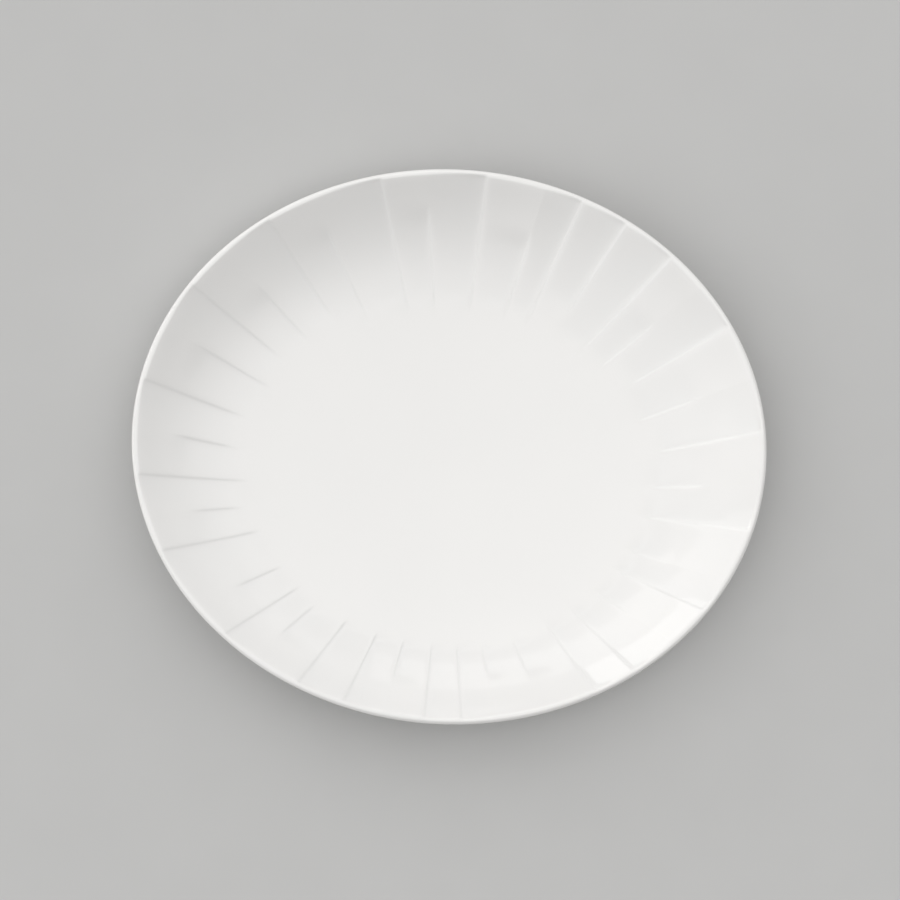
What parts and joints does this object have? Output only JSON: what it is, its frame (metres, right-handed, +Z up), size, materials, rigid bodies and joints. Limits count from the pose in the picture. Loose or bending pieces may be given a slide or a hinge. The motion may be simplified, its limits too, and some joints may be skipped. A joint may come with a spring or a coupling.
{
  "type": "oval coupe plate",
  "caption": "Rimless oval porcelain plate with an off-centre flat well, a curved wall pleated with radial creases, a bare foot ring and clear glaze all over.",
  "frame": {"origin": "on the table, below the middle of the oval rim", "axes": "+X along the oval's length, +Y towards the back, where the wall is widest, +Z up"},
  "size_m": [0.2799, 0.2449, 0.027],
  "materials": {
    "bare_porcelain": "unglazed, ground smooth at the foot",
    "glaze": "clear gloss glaze over white porcelain"
  },
  "bodies": {
    "root": {"porcelain_body": "bare_porcelain", "glaze_coat": "glaze", "foot_recess_glaze": "glaze"}
  },
  "joints": []
}
